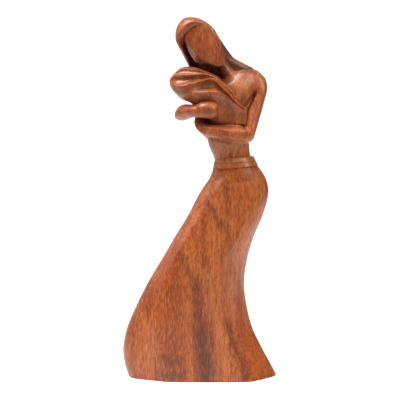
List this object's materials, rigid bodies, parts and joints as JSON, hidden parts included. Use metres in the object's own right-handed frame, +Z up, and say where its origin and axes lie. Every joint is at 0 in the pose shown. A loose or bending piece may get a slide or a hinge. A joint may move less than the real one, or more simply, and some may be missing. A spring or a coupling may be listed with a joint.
{
  "type": "mother and child statuette",
  "caption": "Carved wooden figure of a standing mother in a long flared skirt, bowing over the child in her arms; stands on its flat underside.",
  "frame": {"origin": "middle of the flat underside of the skirt, at the bottom centre of the bounding box", "axes": "+Z up along the figure, +X towards the pushed-out hip, -Y out of the carved front"},
  "size_m": [0.1338, 0.0604, 0.31],
  "materials": {
    "suar_wood": "satin"
  },
  "bodies": {
    "root": {"mother_and_child": "suar_wood"}
  },
  "joints": []
}
